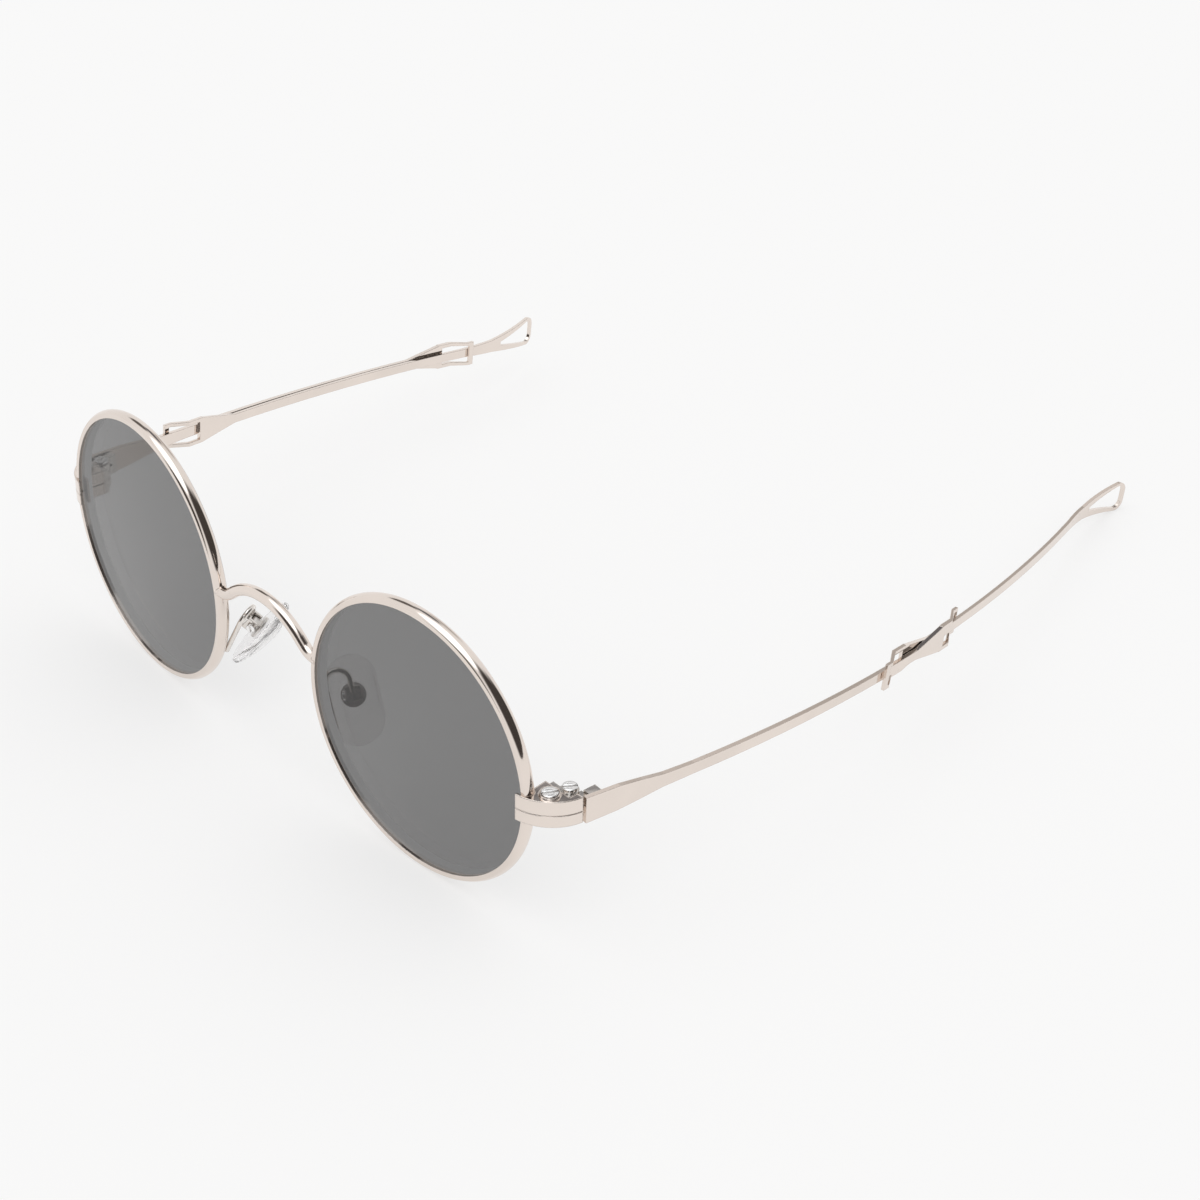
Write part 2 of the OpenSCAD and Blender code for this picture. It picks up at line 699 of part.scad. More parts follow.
module pad_screw() {
  pad_frame() translate([box_x + box_wall, 0, -pivot_back]) rotate([0, 90, 0]) {
    slotted_head(pad_head_r, 0.45, pad_turn);
    translate([0, 0, -2 * (box_x + box_wall)]) cylinder(h = 2 * (box_x + box_wall) + small, r = pad_screw_r);
  }
}
// the pad's normal, and the middle of the box's back
pad_m = [
  -cos(pad_splay) * cos(pad_front), sin(pad_splay), -cos(pad_splay) * sin(pad_front)
];
pad_n = [
  pad_m[0],
  pad_m[1] * cos(pad_lean) - pad_m[2] * sin(pad_lean),
  pad_m[1] * sin(pad_lean) + pad_m[2] * cos(pad_lean)
];
// the pad's long axis, upwards
pad_u = [
  -sin(pad_front),
  -cos(pad_front) * sin(pad_lean),
  cos(pad_front) * cos(pad_lean)
];
arm_end = [pad_x, pad_y, pad_z] - box_floor * pad_n + arm_high * pad_u;
foot_x = eye_offset - sqrt(pow(rim_r - 0.45, 2) - arm_foot_z * arm_foot_z) * cos(wrap_angle);
foot_y = rim_depth - sqrt(pow(rim_r - 0.45, 2) - arm_foot_z * arm_foot_z) * sin(wrap_angle) + arm_r;
// the arm lies in a plane through its foot and the box, leaning towards the nose
arm_chord = arm_end - [foot_x, foot_y, arm_foot_z];
arm_flat = norm([arm_chord[0], arm_chord[1]]);
arm_run = norm(arm_chord);
arm_heading = atan2(arm_chord[1], arm_chord[0]);
arm_rise = atan2(arm_chord[2], arm_flat);
leg_turn = arm_rise + arm_tilt;
leg_top = arm_leg * [sin(leg_turn), cos(leg_turn)];
bend_c = leg_top + arm_bend_r * [cos(leg_turn), -sin(leg_turn)];
down_to = [arm_run, 0] - bend_c;
down_d = norm(down_to);
down_turn = atan2(down_to[1], down_to[0]) + acos(arm_bend_r / down_d);
down_l = sqrt(down_d * down_d - arm_bend_r * arm_bend_r);
module arm_wire() {
  translate([foot_x, foot_y, arm_foot_z]) rotate([0, 0, arm_heading]) rotate([0, -arm_rise, 0]) {
    rotate([90 - arm_bulge, 0, 0]) {
      rotate([0, 0, -leg_turn]) rotate([-90, 0, 0]) cylinder(h = arm_leg + lap, r = arm_r + lap_step);
      translate([bend_c[0], bend_c[1], 0]) rotate([0, 0, down_turn]) {
        rotate_extrude(angle = 180 - leg_turn - down_turn) {
          translate([arm_bend_r, 0]) circle(r = arm_r);
        }
        translate([arm_bend_r, lap, 0]) rotate([90, 0, 0]) {
          cylinder(h = down_l + lap + arm_r, r = arm_r + lap_step);
        }
      }
    }
  }
}
module pad_arm() {
  difference() {
    arm_wire();
    pad_frame() box_block(box_floor);
    rim_envelope();
  }
}

color(silver) placed() bridge_arch();  // bridge
color(silver) left() rim();  // left_rim
color(silver) right() rim();  // right_rim
color(smoke) left() lens();  // left_lens
color(smoke) right() lens();  // right_lens
color(silver) left() upper_lug();  // left_upper_lug
color(silver) right() upper_lug();  // right_upper_lug
color("lightsteelblue") left() lower_lug();  // left_lower_lug
color("lightsteelblue") right() lower_lug();  // right_lower_lug
color(steel) left() lock_screw();  // left_lock_screw
color(steel) right() lock_screw();  // right_lock_screw
color("tan") left() hinge_fork();  // left_hinge_fork
color("tan") right() hinge_fork();  // right_hinge_fork
color(steel) left() hinge_screw();  // left_hinge_screw
color(steel) right() hinge_screw();  // right_hinge_screw
color("tan") left() pad_arm();  // left_pad_arm
color("tan") right() pad_arm();  // right_pad_arm
color("steelblue") left() pad_box();  // left_pad_box
color("steelblue") right() pad_box();  // right_pad_box
color("red") left() pad_screw();  // left_pad_screw
color("red") right() pad_screw();  // right_pad_screw
color("orange") left() pad_mount();  // left_pad_mount
color("orange") right() pad_mount();  // right_pad_mount
color(clear_silicone) left() nose_pad();  // left_nose_pad
color(clear_silicone) right() nose_pad();  // right_nose_pad
color(silver) left() temple_bar(left_splay);  // left_temple_bar
color(silver) right() temple_bar(right_splay);  // right_temple_bar
color("orange") left() temple_knuckle(left_splay);  // left_temple_knuckle
color("orange") right() temple_knuckle(right_splay);  // right_temple_knuckle
color("goldenrod") left() extension(left_splay, 0);  // left_extension
color("goldenrod") right() extension(right_splay, travel);  // right_extension
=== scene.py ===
"""Round metal sunglasses with grey lenses and sliding temples, dressed for a studio picture.

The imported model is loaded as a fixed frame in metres. The front faces -Y, the temples run
to +Y, and +X is the wearer's left. The operators finish the metal and the screws, shape and
tint the lenses, mould the soft nose pads, and set the stage.
"""

import math

import bpy
import numpy as np
from mathutils import Matrix, Vector


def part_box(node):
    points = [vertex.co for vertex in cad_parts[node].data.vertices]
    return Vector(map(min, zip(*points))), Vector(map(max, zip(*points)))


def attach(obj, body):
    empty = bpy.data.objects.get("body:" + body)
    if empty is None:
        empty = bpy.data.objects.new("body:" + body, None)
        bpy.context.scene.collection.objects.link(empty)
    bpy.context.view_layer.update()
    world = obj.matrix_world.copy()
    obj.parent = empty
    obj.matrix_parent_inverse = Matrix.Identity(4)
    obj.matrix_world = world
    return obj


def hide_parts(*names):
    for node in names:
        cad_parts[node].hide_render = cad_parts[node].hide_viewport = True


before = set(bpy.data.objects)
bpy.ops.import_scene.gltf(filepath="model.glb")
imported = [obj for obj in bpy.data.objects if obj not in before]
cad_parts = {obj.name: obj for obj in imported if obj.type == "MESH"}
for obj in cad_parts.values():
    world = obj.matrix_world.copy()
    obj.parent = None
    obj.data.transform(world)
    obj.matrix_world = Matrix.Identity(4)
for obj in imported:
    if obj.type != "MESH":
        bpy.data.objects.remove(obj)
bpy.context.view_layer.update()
SIDES = ("left", "right")
MM = 0.001

# Scales of the surface patterns, in repeats per metre.
CLOUDS = 90.0
MARKS_ALONG_AND_ACROSS = (900.0, 60.0, 900.0)
METAL_WAVES = 420.0
METAL_SPECKS = 2600.0
LENS_SMEARS = 55.0
LENS_DUST = 4200.0
GRINDING = 3500.0
MILK = 260.0
SILICONE_LUMPS = 420.0
SILICONE_PEBBLES = 1300.0

# The stage: the pale tone of the floor and the background, and how much of the floor's tone is
# plain where it is seen directly, which leaves the rest to the light and the object's shadow.
PALE = (0.94, 0.94, 0.94, 1.0)
FLOOR_HALF = 3.0
PLAIN_SHARE = 0.6
SKY = (1.0, 0.995, 0.99, 1.0)
SKY_RISE, SKY_BASE = 1.2, 0.22
SENSOR_MM = 36.0

# What polished metal mirrors in front of the pale room, later ones over earlier ones:
# azimuth and elevation of the middle, inner and outer radius of the soft edge, tone. Degrees;
# azimuth 0 looks along -Y and 90 along +X.
STUDIO = (
    ((98.0, 30.0, 30.0, 48.0), (0.06, 0.053, 0.05, 1.0)),
    ((138.0, 20.0, 16.0, 32.0), (0.06, 0.055, 0.05, 1.0)),
    ((2.0, 21.0, 20.0, 34.0), (0.07, 0.062, 0.058, 1.0)),
    ((-150.0, 34.0, 7.0, 16.0), (0.74, 0.71, 0.69, 1.0)),
    ((-133.0, 46.0, 8.0, 13.0), (0.15, 0.15, 0.16, 1.0)),
    ((-104.0, 40.0, 8.0, 15.0), (0.14, 0.13, 0.12, 1.0)),
    ((-153.0, 22.0, 7.0, 12.0), (0.5, 0.475, 0.455, 1.0)),
    ((-15.0, 76.0, 25.0, 31.0), (1.75, 1.8, 1.85, 1.0)),
)

bl_info = {
    "name": "Round sunglasses",
    "version": (1, 0, 0),
    "blender": (4, 5, 0),
    "location": "3D View > Sidebar > Sunglasses",
    "description": "Finishes, nose pads and studio for round metal sunglasses",
    "category": "Object",
}


# ---------------------------------------------------------------- shader maths
class Value:
    """A number socket that stands in arithmetic: each operator adds one Math node."""

    def __init__(self, shade, socket):
        self.shade, self.socket = shade, socket

    def math(self, operation, *others):
        return self.shade.node(
            "ShaderNodeMath", {"operation": operation}, {i: v for i, v in enumerate((self, *others))}
        )

    def __add__(self, other):
        return self.math("ADD", other)

    def __mul__(self, other):
        return self.math("MULTIPLY", other)

    def clamped(self):
        return self.math("MAXIMUM", 0.0).math("MINIMUM", 1.0)


class Shade:
    """The node tree of one material or world."""

    def __init__(self, owner):
        owner.use_nodes = True
        self.tree = owner.node_tree
        self.tree.nodes.clear()

    def node(self, kind, settings=None, sockets=None, out=0):
        """Adds a node: its settings first, then the values or links of its sockets."""
        made = self.tree.nodes.new(kind)
        for name, value in (settings or {}).items():
            setattr(made, name, value)
        for name, value in (sockets or {}).items():
            if isinstance(value, Value):
                self.tree.links.new(value.socket, made.inputs[name])
            else:
                made.inputs[name].default_value = value
        return Value(self, made.outputs[out]) if len(made.outputs) else made

    def blend(self, factor, first, second):
        """Colour from first to second by factor."""
        return self.node(
            "ShaderNodeMix", {"data_type": "RGBA"}, {0: factor, 6: first, 7: second}, out=2
        )

    def noise(self, place, scale, detail=2.0, rough=0.5):
        """Cloudy values round 0.5 at the scale in repeats per metre."""
        return self.node(
            "ShaderNodeTexNoise", None,
            {"Vector": place, "Scale": scale, "Detail": detail, "Roughness": rough},
        )

    def spread(self, value, low, high, to_low, to_high):
        """The range from low to high laid over the range from to_low to to_high."""
        return self.node(
            "ShaderNodeMapRange", {"clamp": True},
            {0: value, 1: low, 2: high, 3: to_low, 4: to_high},
        )


def rgba(colour):
    return (*colour, 1.0)


def bump(shade, height, strength, distance, normal=None):
    sockets = {"Height": height, "Strength": strength, "Distance": distance}
    if normal is not None:
        sockets["Normal"] = normal
    return shade.node("ShaderNodeBump", None, sockets)


def finish_metal(name, tint, shadow_tint, roughness, edge, marking, grain, uneven, dome=0.0):
    """Metal with clouded tint, an uneven polish, fine marks and rounded, slightly duller arrises.

    edge is the radius of the arrises and uneven the height of the polish's waves, in metres.
    marking is the scale of the marks and grain how much they dull. Faces that look up are
    rounded off by the wider radius dome, if there is one.
    """
    material = bpy.data.materials.new(name)
    shade = Shade(material)
    place = shade.node("ShaderNodeTexCoord", out=3)
    clouds = shade.noise(place, CLOUDS, 3.0)
    specks = shade.noise(place, METAL_SPECKS)
    stretched = shade.node(
        "ShaderNodeMapping", {"vector_type": "POINT"},
        {"Vector": place, "Scale": MARKS_ALONG_AND_ACROSS},
    )
    marks = shade.noise(stretched, marking)
    soft = shade.node("ShaderNodeBevel", {"samples": 6}, {"Radius": edge})
    hard = shade.node("ShaderNodeNewGeometry", out=1)
    facing = shade.node("ShaderNodeVectorMath", {"operation": "DOT_PRODUCT"}, {0: soft, 1: hard}, out=1)
    wear = shade.spread(facing, 0.999, 0.9, 0.0, 1.0)
    colour = shade.blend(shade.spread(clouds, 0.35, 0.75, 0.0, 1.0), rgba(tint), rgba(shadow_tint))
    dull = shade.spread(clouds, 0.3, 0.7, 0.8, 1.25) * roughness + marks * grain + wear * 0.03
    waves = shade.noise(place, METAL_WAVES, 1.0)
    if dome:
        wide = shade.node("ShaderNodeBevel", {"samples": 8}, {"Radius": dome})
        height = shade.node("ShaderNodeSeparateXYZ", None, {0: hard}, out=2)
        up = shade.spread(height, 0.9, 0.95, 0.0, 1.0)
        soft = shade.node(
            "ShaderNodeMix", {"data_type": "VECTOR"}, {0: up, 4: soft, 5: wide}, out=1
        )
    swell = bump(shade, waves, 1.0, uneven, soft)
    normal = bump(shade, marks * 0.7 + specks * 0.3, 0.05, 0.02 * MM, swell)
    out = shade.node(
        "ShaderNodeBsdfPrincipled", None,
        {"Base Color": colour, "Metallic": 1.0, "Roughness": dull, "Normal": normal},
    )
    shade.node("ShaderNodeOutputMaterial", None, {"Surface": out})
    return material


def finish_lens(name, tint, alpha):
    """Polished glass: smears of wiping dull it in wide clouds, dust shows as small paler specks."""
    material = bpy.data.materials.new(name)
    shade = Shade(material)
    place = shade.node("ShaderNodeTexCoord", out=3)
    smears = shade.noise(place, LENS_SMEARS, 3.0, 0.6)
    dust = shade.noise(place, LENS_DUST, 1.0)
    specks = shade.spread(dust, 0.76, 0.8, 0.0, 1.0)
    colour = shade.blend(specks * 0.25, rgba(tint), (0.5, 0.5, 0.5, 1.0))
    dull = shade.spread(smears, 0.4, 0.8, 0.008, 0.03)
    out = shade.node(
        "ShaderNodeBsdfPrincipled", None,
        {"Base Color": colour, "Roughness": dull, "IOR": 1.5, "Alpha": alpha},
    )
    shade.node("ShaderNodeOutputMaterial", None, {"Surface": out})
    return material


def finish_cut_edge(name, tint, painted_glow):
    """The lens's ground edge: dull and scratched by grinding, with a painted glow (emission) that stands
    in for the light led through the glass.
    """
    material = bpy.data.materials.new(name)
    shade = Shade(material)
    place = shade.node("ShaderNodeTexCoord", out=3)
    grit = shade.noise(place, GRINDING)
    colour = shade.blend(grit, rgba(tuple(c * 0.92 for c in tint)), rgba(tint))
    # The emission below is a painted glow: the edge lights itself with its own colour.
    out = shade.node(
        "ShaderNodeBsdfPrincipled", None,
        {
            "Base Color": colour, "Roughness": shade.spread(grit, 0.3, 0.7, 0.45, 0.6),
            "Normal": bump(shade, grit, 0.2, 0.02 * MM),
            "Emission Color": colour, "Emission Strength": painted_glow,
        },
    )
    shade.node("ShaderNodeOutputMaterial", None, {"Surface": out})
    return material


def finish_silicone(name, tint, milky):
    """Clear soft silicone: refracting, with a slightly pebbled satin skin and a faint milkiness."""
    material = bpy.data.materials.new(name)
    shade = Shade(material)
    place = shade.node("ShaderNodeTexCoord", out=3)
    pebbles = shade.noise(place, SILICONE_PEBBLES)
    lumps = shade.noise(place, SILICONE_LUMPS, 1.0)
    milk = shade.noise(place, MILK)
    colour = shade.blend(shade.spread(milk, 0.3, 0.8, 0.0, 1.0), rgba(tint), rgba(milky))
    dull = shade.spread(pebbles, 0.3, 0.7, 0.1, 0.26)
    out = shade.node(
        "ShaderNodeBsdfPrincipled", None,
        {
            "Base Color": colour, "Roughness": dull, "IOR": 1.17, "Transmission Weight": 0.92,
            "Normal": bump(shade, pebbles * 0.6 + lumps, 0.3, 0.06 * MM),
        },
    )
    shade.node("ShaderNodeOutputMaterial", None, {"Surface": out})
    return material


def dress(names, material):
    """Gives the material to the CAD pieces of these names."""
    for name in names:
        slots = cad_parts[name].data.materials
        slots.clear()
        slots.append(material)


# ---------------------------------------------------------------- settings
class FinishSettings(bpy.types.PropertyGroup):
    """Colours and gloss of the finishes."""

    nickel: bpy.props.FloatVectorProperty(
        name="Nickel", description="Tint of the polished metal", subtype="COLOR",
        default=(0.815, 0.73, 0.668), min=0, max=1,
    )
    nickel_roughness: bpy.props.FloatProperty(
        name="Nickel roughness", description="Dullness of the polished metal", default=0.07, min=0, max=1
    )
    lens: bpy.props.FloatVectorProperty(
        name="Lens", description="Tint of the lenses", subtype="COLOR",
        default=(0.017, 0.015, 0.0155), min=0, max=1,
    )
    lens_alpha: bpy.props.FloatProperty(
        name="Lens density", description="Share of light each surface of a lens stops",
        default=0.575, min=0, max=1,
    )
    # Strength of the edge's painted glow, an emission that stands in for light led through the glass.
    painted_edge_glow: bpy.props.FloatProperty(
        name="Edge light", description="Light led to the lens's ground edge", default=0.75, min=0, max=1
    )


class CameraSettings(bpy.types.PropertyGroup):
    """Where the picture is taken from."""

    place: bpy.props.FloatVectorProperty(
        name="Place", description="Place of the camera", subtype="XYZ",
        unit="LENGTH", default=(0.246804, -0.167189, 0.216158),
    )
    azimuth: bpy.props.FloatProperty(
        name="Azimuth", description="Turn of the view round the object, degrees", default=47.358
    )
    elevation: bpy.props.FloatProperty(
        name="Elevation", description="Height of the view above the horizon, degrees", default=34.826
    )
    lens: bpy.props.FloatProperty(
        name="Focal length", description="Focal length on a 36 mm sensor, mm", default=72.9
    )


class LensSettings(bpy.types.PropertyGroup):
    """Form and place of the lenses, as the left one stands in the row frame."""

    middle: bpy.props.FloatVectorProperty(
        name="Middle", description="Middle of the rim's front", subtype="XYZ", unit="LENGTH",
        default=(0.0332, -0.005643, 0.006681),
    )
    lift: bpy.props.FloatProperty(
        name="Lift", description="Tilt of the row frame against the front, degrees", default=-1.8
    )
    wrap: bpy.props.FloatProperty(
        name="Wrap", description="Turn of each rim to the back at its outer side, degrees", default=4.1
    )
    radius: bpy.props.FloatProperty(
        name="Radius", description="Radius of the lens", unit="LENGTH", default=20.96 * MM
    )
    curve: bpy.props.FloatProperty(
        name="Curve", description="Radius of the lens's front surface", unit="LENGTH", default=265.0 * MM
    )
    thick: bpy.props.FloatProperty(
        name="Thickness", description="Thickness of the lens", unit="LENGTH", default=1.8 * MM
    )
    inset: bpy.props.FloatProperty(
        name="Inset", description="Distance of the lens's edge behind the rim's front", unit="LENGTH",
        default=0.5 * MM,
    )


class PadSettings(bpy.types.PropertyGroup):
    """Form and place of the nose pads, as the left one stands in the row frame."""

    middle: bpy.props.FloatVectorProperty(
        name="Middle", description="Middle of the pad's back", subtype="XYZ", unit="LENGTH",
        default=(0.0116, 0.0, 0.0),
    )
    lift: bpy.props.FloatProperty(
        name="Lift", description="Tilt of the row frame against the front, degrees", default=-1.8
    )
    lean: bpy.props.FloatProperty(
        name="Lean", description="Lean of the pad's top against the front, degrees", default=-20.5
    )
    front: bpy.props.FloatProperty(
        name="Slant", description="Lean of the pad's top towards the nose, degrees", default=36.0
    )
    splay: bpy.props.FloatProperty(
        name="Splay", description="Turn of the pad's face towards the back, degrees", default=42.0
    )
    low_at: bpy.props.FloatProperty(
        name="Low centre", description="Height of the low end's centre", unit="LENGTH", default=-3.4 * MM
    )
    top_at: bpy.props.FloatProperty(
        name="Top centre", description="Height of the top end's centre", unit="LENGTH", default=2.3 * MM
    )
    low: bpy.props.FloatProperty(
        name="Low end", description="Radius of the low end", unit="LENGTH", default=4.2 * MM
    )
    top: bpy.props.FloatProperty(
        name="Top end", description="Radius of the top end", unit="LENGTH", default=3.8 * MM
    )
    thick: bpy.props.FloatProperty(
        name="Thickness", description="Thickness in the middle", unit="LENGTH", default=2.5 * MM
    )
    rim: bpy.props.FloatProperty(
        name="Edge", description="Thickness of the rounded edge", unit="LENGTH", default=1.2 * MM
    )


GROUPS = (FinishSettings, LensSettings, PadSettings, CameraSettings)


def settings(kind):
    return getattr(bpy.context.scene, "sunglasses_" + kind)


def both(*names):
    return [f"{side}_{name}" for name in names for side in SIDES]


# ---------------------------------------------------------------- round pieces
def turned(axis, degrees):
    """Rotation about an axis, as a 3 x 3 array."""
    return np.array(Matrix.Rotation(math.radians(degrees), 3, axis))


def ringed(name, side, rings, first, last, finish_of=None):
    """A closed mesh from rings of points: a fan at each end and quads between the rings.

    finish_of gives the material of the faces after ring k, where k is -1 for the first fan.
    The right side is the left one mirrored.
    """
    around = len(rings[0])
    spots = np.vstack([first[None, :], *rings, last[None, :]])
    here = np.arange(around)
    after = np.roll(here, -1)
    starts = 1 + around * np.arange(len(rings))
    opening = np.stack([0 * here, starts[0] + after, starts[0] + here], 1)
    quad = np.stack([here, after, around + after, around + here], 1)
    quads = (starts[:-1, None, None] + quad).reshape(-1, 4)
    closing = np.stack([starts[-1] + here, starts[-1] + after, 0 * here + len(spots) - 1], 1)
    parts = [opening, quads, closing]
    if side == "right":
        spots = spots * np.array([-1.0, 1.0, 1.0])
        parts = [part[:, ::-1] for part in parts]
    mesh = bpy.data.meshes.new(f"{side}_{name}")
    mesh.from_pydata(spots.tolist(), [], [face for part in parts for face in part.tolist()])
    mesh.shade_smooth()
    mesh.set_sharp_from_angle(angle=math.radians(40))
    if finish_of:
        tones = [finish_of(k) for k in range(-1, len(rings))]
        mesh.polygons.foreach_set("material_index", np.repeat(tones, around).tolist())
    mesh.update()
    piece = bpy.data.objects.new(f"{side}_{name}", mesh)
    bpy.context.scene.collection.objects.link(piece)
    return piece


def glass(side, shape):
    """One lens as a closed meniscus.

    Both surfaces are caps of radius R = curve: a point at the distance r from the axis lies at
    the depth inset - s(radius) + s(r), with s(r) = R - sqrt(R^2 - r^2), and the back surface
    lies thick deeper. The edge is a cylinder between them.
    """
    around, steps = 192, 24
    surface, ground = 0, 1
    angles = np.linspace(0.0, 2 * np.pi, around, endpoint=False)
    way = np.stack([np.cos(angles), np.sin(angles)], 1)
    turn = turned("X", shape.lift) @ turned("Z", shape.wrap) @ turned("X", -90.0)
    middle = np.array(shape.middle)
    sag = lambda r: shape.curve - math.sqrt(shape.curve**2 - r * r)
    front = lambda r: shape.inset - sag(shape.radius) + sag(r)
    radii = np.linspace(0.0, shape.radius, steps + 1)[1:]
    lines = [(r, front(r)) for r in radii] + [(r, front(r) + shape.thick) for r in radii[::-1]]
    rings = [np.column_stack([way * r, np.full(around, depth)]) @ turn.T + middle for r, depth in lines]
    tips = [turn @ np.array([0.0, 0.0, front(0.0) + extra]) + middle for extra in (0.0, shape.thick)]
    return ringed(
        "glass", side, rings, tips[0], tips[1],
        lambda k: ground if k == steps - 1 else surface,
    )


def soft_pad(side, shape):
    """One nose pad as a closed cushion.

    Its outline is the drop that wraps two circles of radii low and top at the heights low_at
    and top_at: in the direction a from the middle it lies at o(a). A ring at the share f of
    that outline lies flat on the back, runs round the edge in a half circle of height rim, and
    rises over the face to rim + (thick - rim)(1 - f^2)^0.8.
    """
    around = 96
    angles = np.linspace(0.0, 2 * np.pi, around, endpoint=False)
    way = np.stack([np.cos(angles), np.sin(angles)], 1)
    reach = drop_reach(way, shape)
    stand = turned("X", shape.lean) @ turned("Y", -shape.front) @ turned("Z", -shape.splay - 90.0)
    turn = turned("X", shape.lift) @ stand @ turned("X", 90.0)
    middle = np.array(shape.middle)
    half = shape.rim / 2
    lines = [(f, 0.0, 0.0) for f in np.linspace(0.0, 0.9, 8)[1:]]
    bends = np.linspace(0.0, np.pi, 10)
    lines += [(1.0, half * (math.sin(b) - 1.0), half * (1.0 - math.cos(b))) for b in bends]
    for f in np.linspace(0.97, 0.0, 14)[:-1]:
        lines.append((f, -half * f, shape.rim + (shape.thick - shape.rim) * (1 - f * f) ** 0.8))
    rings = [
        np.column_stack([way * (f * reach + inset)[:, None], np.full(around, height)]) @ turn.T + middle
        for f, inset, height in lines
    ]
    return ringed("soft_pad", side, rings, middle, turn @ np.array([0.0, 0.0, shape.thick]) + middle)


def drop_reach(way, shape):
    """Distance from the middle to the drop's outline, for each direction of way.

    The drop is the hull of its two end circles. A direction meets a circle of radius r at the
    height h at the distance a + sqrt(r^2 - h^2 + a^2), where a is h along the direction, and it
    meets the tangent of both circles between the two heights at which the tangent touches them.
    """
    best = np.zeros(len(way))
    for height, radius in ((shape.low_at, shape.low), (shape.top_at, shape.top)):
        along = way[:, 1] * height
        gap = radius * radius - height * height + along * along
        best = np.where(gap > 0, np.maximum(best, along + np.sqrt(np.maximum(gap, 0.0))), best)
    rise = (shape.low - shape.top) / (shape.top_at - shape.low_at)
    facing = math.sqrt(1 - rise * rise) * np.abs(way[:, 0]) + rise * way[:, 1]
    away = (shape.low + rise * shape.low_at) / np.maximum(facing, 1e-9)
    above = way[:, 1] * away >= shape.low_at + shape.low * rise
    below = way[:, 1] * away <= shape.top_at + shape.top * rise
    return np.where((facing > 1e-9) & above & below, np.maximum(best, away), best)


# ---------------------------------------------------------------- operators
class SUNGLASSES_OT_metal(bpy.types.Operator):
    """Finishes the polished frame, the small fittings and the screws"""

    bl_idname = "sunglasses.metal"
    bl_label = "Finish the metal"

    def execute(self, context):
        look = settings("finish")
        tint = tuple(look.nickel)
        darker = tuple(c * 0.93 for c in tint)
        polish = {"roughness": look.nickel_roughness, "marking": 3.0, "grain": 0.02}
        small = {"edge": 0.14 * MM, "marking": 4.0, "grain": 0.06}
        nickel = finish_metal("polished nickel", tint, darker, edge=0.12 * MM, uneven=0.01 * MM, **polish)
        lug_nickel = finish_metal("cast nickel", tint, darker, edge=0.3 * MM, uneven=0.02 * MM, **polish)
        fittings = finish_metal(
            "tumbled fittings", (0.8, 0.76, 0.72), (0.7, 0.66, 0.62), 0.13, uneven=0.05 * MM, **small
        )
        insert = finish_metal(
            "matt inserts", (0.8, 0.77, 0.74), (0.72, 0.69, 0.66), 0.36, uneven=0.03 * MM, **small
        )
        steel = finish_metal(
            "turned steel", (0.95, 0.94, 0.93), (0.86, 0.85, 0.84), 0.1,
            edge=0.1 * MM, marking=5.0, grain=0.05, uneven=0.03 * MM, dome=0.9 * MM,
        )
        dress(["bridge", *both("rim", "temple_bar", "extension")], nickel)
        dress(both("upper_lug", "lower_lug"), lug_nickel)
        dress(both("hinge_fork", "temple_knuckle", "pad_arm", "pad_box"), fittings)
        dress(both("pad_mount"), insert)
        dress(both("lock_screw", "hinge_screw", "pad_screw"), steel)
        return {"FINISHED"}


class SUNGLASSES_OT_lenses(bpy.types.Operator):
    """Shapes the lenses and tints them"""

    bl_idname = "sunglasses.lenses"
    bl_label = "Shape the lenses"

    def execute(self, context):
        look, shape = settings("finish"), settings("lens")
        finishes = (
            finish_lens("grey lens", tuple(look.lens), look.lens_alpha),
            finish_cut_edge("lens edge", (0.32, 0.32, 0.32), look.painted_edge_glow),
        )
        for side in SIDES:
            lens = glass(side, shape)
            for finish in finishes:
                lens.data.materials.append(finish)
            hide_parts(f"{side}_lens")
            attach(lens, "front")
        return {"FINISHED"}


class SUNGLASSES_OT_pads(bpy.types.Operator):
    """Moulds the soft nose pads and finishes them"""

    bl_idname = "sunglasses.pads"
    bl_label = "Mould the nose pads"

    def execute(self, context):
        shape = settings("pads")
        silicone = finish_silicone("clear silicone", (0.985, 0.975, 0.975), (1.0, 0.995, 0.99))
        for side in SIDES:
            pad = soft_pad(side, shape)
            pad.data.materials.append(silicone)
            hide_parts(f"{side}_nose_pad")
            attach(pad, f"{side}_pad")
        return {"FINISHED"}


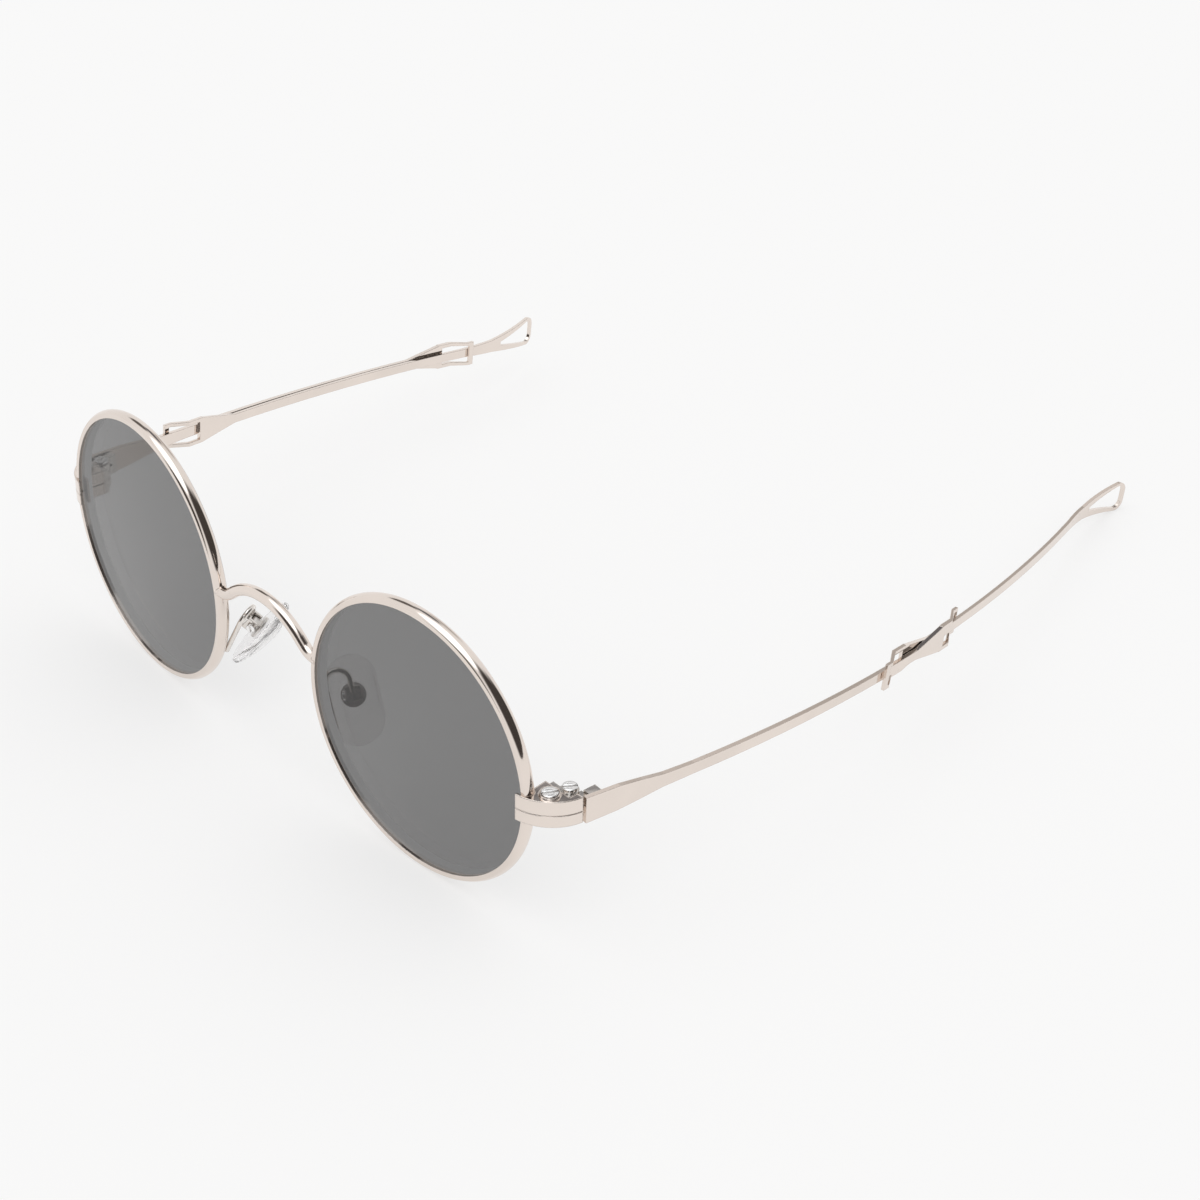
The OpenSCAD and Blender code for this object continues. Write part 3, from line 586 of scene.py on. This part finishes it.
class SUNGLASSES_OT_stage(bpy.types.Operator):
    """Lays the floor and sets the world's light and the camera"""

    bl_idname = "sunglasses.stage"
    bl_label = "Set the stage"

    def execute(self, context):
        self.lay_floor(context)
        self.light_world(context)
        self.set_camera(context)
        context.scene.view_settings.view_transform = "Standard"
        return {"FINISHED"}

    def lay_floor(self, context):
        low = min(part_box(name)[0].z for name in both("rim", "extension"))
        far = FLOOR_HALF
        corners = [(-far, -far, low), (far, -far, low), (far, far, low), (-far, far, low)]
        floor = bpy.data.meshes.new("floor")
        floor.from_pydata(corners, [], [(0, 1, 2, 3)])
        ground = bpy.data.objects.new("floor", floor)
        context.scene.collection.objects.link(ground)
        paint = bpy.data.materials.new("pale floor")
        shade = Shade(paint)
        camera_ray, gloss_ray, glass_ray = self.paths_of(shade)
        direct = (camera_ray + gloss_ray + glass_ray).clamped()
        lit = shade.node("ShaderNodeBsdfDiffuse", None, {"Color": PALE})
        plain = shade.node("ShaderNodeEmission", None, {"Color": PALE, "Strength": 1.0})
        out = shade.node("ShaderNodeMixShader", None, {0: direct * PLAIN_SHARE, 1: lit, 2: plain})
        shade.node("ShaderNodeOutputMaterial", None, {"Surface": out})
        floor.materials.append(paint)

    def light_world(self, context):
        """A sky brightest overhead; the camera sees the pale tone, and metal the studio."""
        world = bpy.data.worlds.new("studio")
        context.scene.world = world
        shade = Shade(world)
        camera_ray, gloss_ray, glass_ray = self.paths_of(shade)
        way = shade.node("ShaderNodeTexCoord", out=0)
        rise = shade.node("ShaderNodeSeparateXYZ", None, {0: way}, out=2).math("MAXIMUM", 0.0)
        room = shade.node(
            "ShaderNodeBackground", None, {"Color": SKY, "Strength": rise * SKY_RISE + SKY_BASE}
        )
        seen = shade.node("ShaderNodeBackground", None, {"Color": PALE, "Strength": 1.0})
        studio = shade.node(
            "ShaderNodeBackground", None, {"Color": self.studio_colour(shade, way), "Strength": 1.0}
        )
        direct = (camera_ray + glass_ray).clamped()
        out = shade.node("ShaderNodeMixShader", None, {0: direct, 1: room, 2: seen})
        out = shade.node("ShaderNodeMixShader", None, {0: gloss_ray, 1: out, 2: studio})
        shade.node("ShaderNodeOutputWorld", None, {"Surface": out})

    def set_camera(self, context):
        shot = settings("camera")
        camera = bpy.data.cameras.new("camera")
        camera.sensor_width, camera.lens = SENSOR_MM, shot.lens
        camera.clip_start, camera.clip_end = 0.01, 20.0
        eye = bpy.data.objects.new("camera", camera)
        back = self.towards(shot.azimuth, shot.elevation)
        right = self.towards(shot.azimuth + 90.0, 0.0)
        turn = Matrix((right, back.cross(right), back)).transposed()
        eye.matrix_world = Matrix.Translation(shot.place) @ turn.to_4x4()
        context.scene.collection.objects.link(eye)
        context.scene.camera = eye

    @staticmethod
    def towards(azimuth, elevation):
        """The direction at an azimuth, measured from -Y towards +X, and an elevation."""
        a, e = math.radians(azimuth), math.radians(elevation)
        return Vector((math.sin(a) * math.cos(e), -math.cos(a) * math.cos(e), math.sin(e)))

    @staticmethod
    def paths_of(shade):
        """1 for rays from the camera, for rays off metal, and for rays through glass."""
        light_path = shade.tree.nodes.new("ShaderNodeLightPath")
        return [Value(shade, light_path.outputs[name]) for name in
                ("Is Camera Ray", "Is Glossy Ray", "Is Transmission Ray")]

    def studio_colour(self, shade, way):
        """What the metal mirrors: the pale room with the patches of the studio over it."""
        colour = PALE
        for (azimuth, elevation, inner, outer), tone in STUDIO:
            near = shade.node(
                "ShaderNodeVectorMath", {"operation": "DOT_PRODUCT"},
                {0: way, 1: self.towards(azimuth, elevation)}, out=1,
            )
            inside = shade.node(
                "ShaderNodeMapRange", {"interpolation_type": "SMOOTHSTEP"},
                {
                    0: near, 1: math.cos(math.radians(outer)), 2: math.cos(math.radians(inner)),
                    3: 0.0, 4: 1.0,
                },
            )
            colour = shade.blend(inside, colour, tone)
        return colour


OPERATORS = (
    SUNGLASSES_OT_metal,
    SUNGLASSES_OT_lenses,
    SUNGLASSES_OT_pads,
    SUNGLASSES_OT_stage,
)


class SUNGLASSES_PT_panel(bpy.types.Panel):
    """Lists the steps and the settings"""

    bl_label = "Round sunglasses"
    bl_idname = "SUNGLASSES_PT_panel"
    bl_space_type = "VIEW_3D"
    bl_region_type = "UI"
    bl_category = "Sunglasses"

    def draw(self, context):
        for operator in OPERATORS:
            self.layout.operator(operator.bl_idname)
        for kind in ("finish", "lens", "pads", "camera"):
            group = settings(kind)
            for name in group.__annotations__:
                self.layout.prop(group, name)


CLASSES = (*GROUPS, *OPERATORS, SUNGLASSES_PT_panel)


def register():
    for kind in CLASSES:
        bpy.utils.register_class(kind)
    bpy.types.Scene.sunglasses_finish = bpy.props.PointerProperty(type=FinishSettings)
    bpy.types.Scene.sunglasses_lens = bpy.props.PointerProperty(type=LensSettings)
    bpy.types.Scene.sunglasses_pads = bpy.props.PointerProperty(type=PadSettings)
    bpy.types.Scene.sunglasses_camera = bpy.props.PointerProperty(type=CameraSettings)


def unregister():
    del bpy.types.Scene.sunglasses_camera
    del bpy.types.Scene.sunglasses_pads
    del bpy.types.Scene.sunglasses_lens
    del bpy.types.Scene.sunglasses_finish
    for kind in reversed(CLASSES):
        bpy.utils.unregister_class(kind)


def main():
    register()
    bpy.ops.sunglasses.metal()
    bpy.ops.sunglasses.lenses()
    bpy.ops.sunglasses.pads()
    bpy.ops.sunglasses.stage()


if __name__ == "__main__":
    main()
